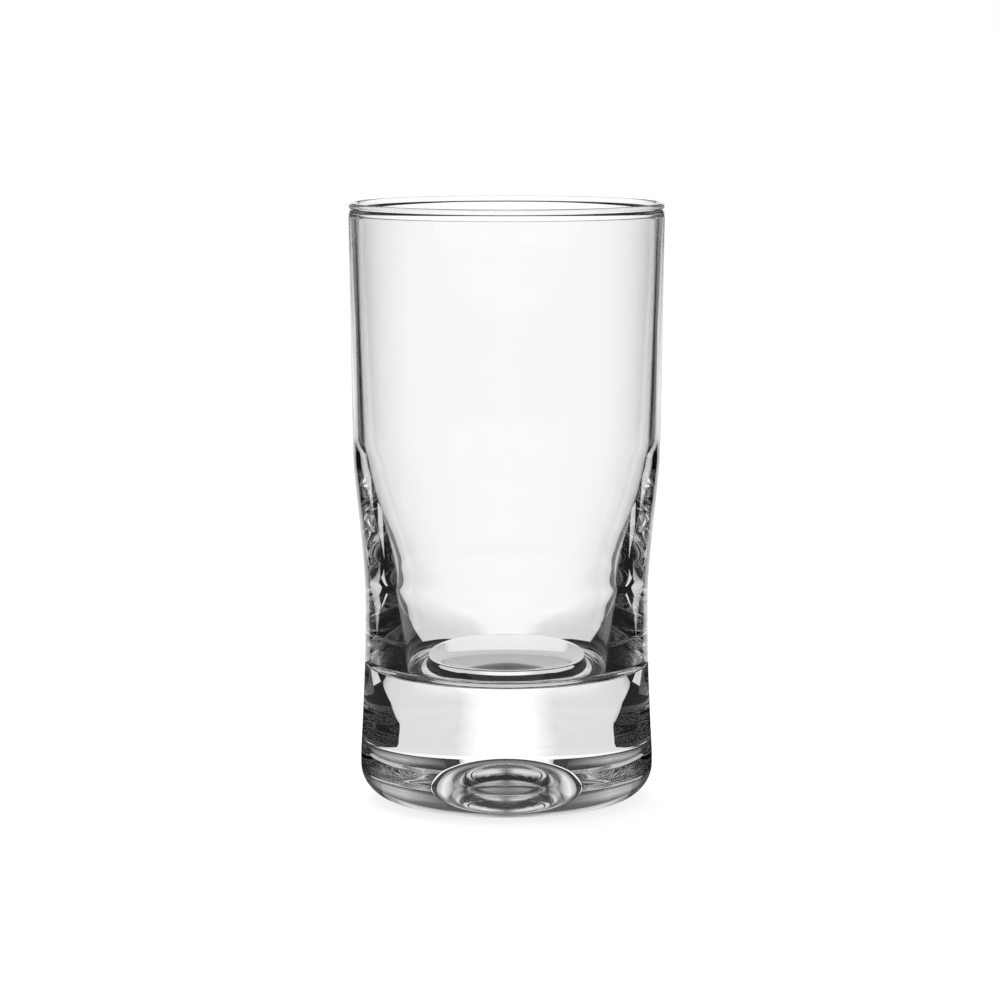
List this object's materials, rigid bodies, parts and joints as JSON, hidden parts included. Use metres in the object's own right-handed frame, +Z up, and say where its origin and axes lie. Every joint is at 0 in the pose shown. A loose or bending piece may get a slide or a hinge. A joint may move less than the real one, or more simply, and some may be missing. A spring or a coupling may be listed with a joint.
{
  "type": "water glass",
  "caption": "Clear pressed drinking tumbler with a thick solid base, drawn-in waist, thin upper wall and rounded rim; holds a drink and stands on a table.",
  "frame": {"origin": "centre of the flat bearing ring, on the table that the glass stands on", "axes": "+Z up along the glass's axis towards the rim; X and Y are alike, because the glass is round"},
  "size_m": [0.062, 0.062, 0.118],
  "materials": {
    "clear_glass": "clear fire-polished soda-lime glass, smooth inside and out, with a faint grey-green cast where it is thick"
  },
  "bodies": {
    "root": {"tumbler": "clear_glass"}
  },
  "joints": []
}
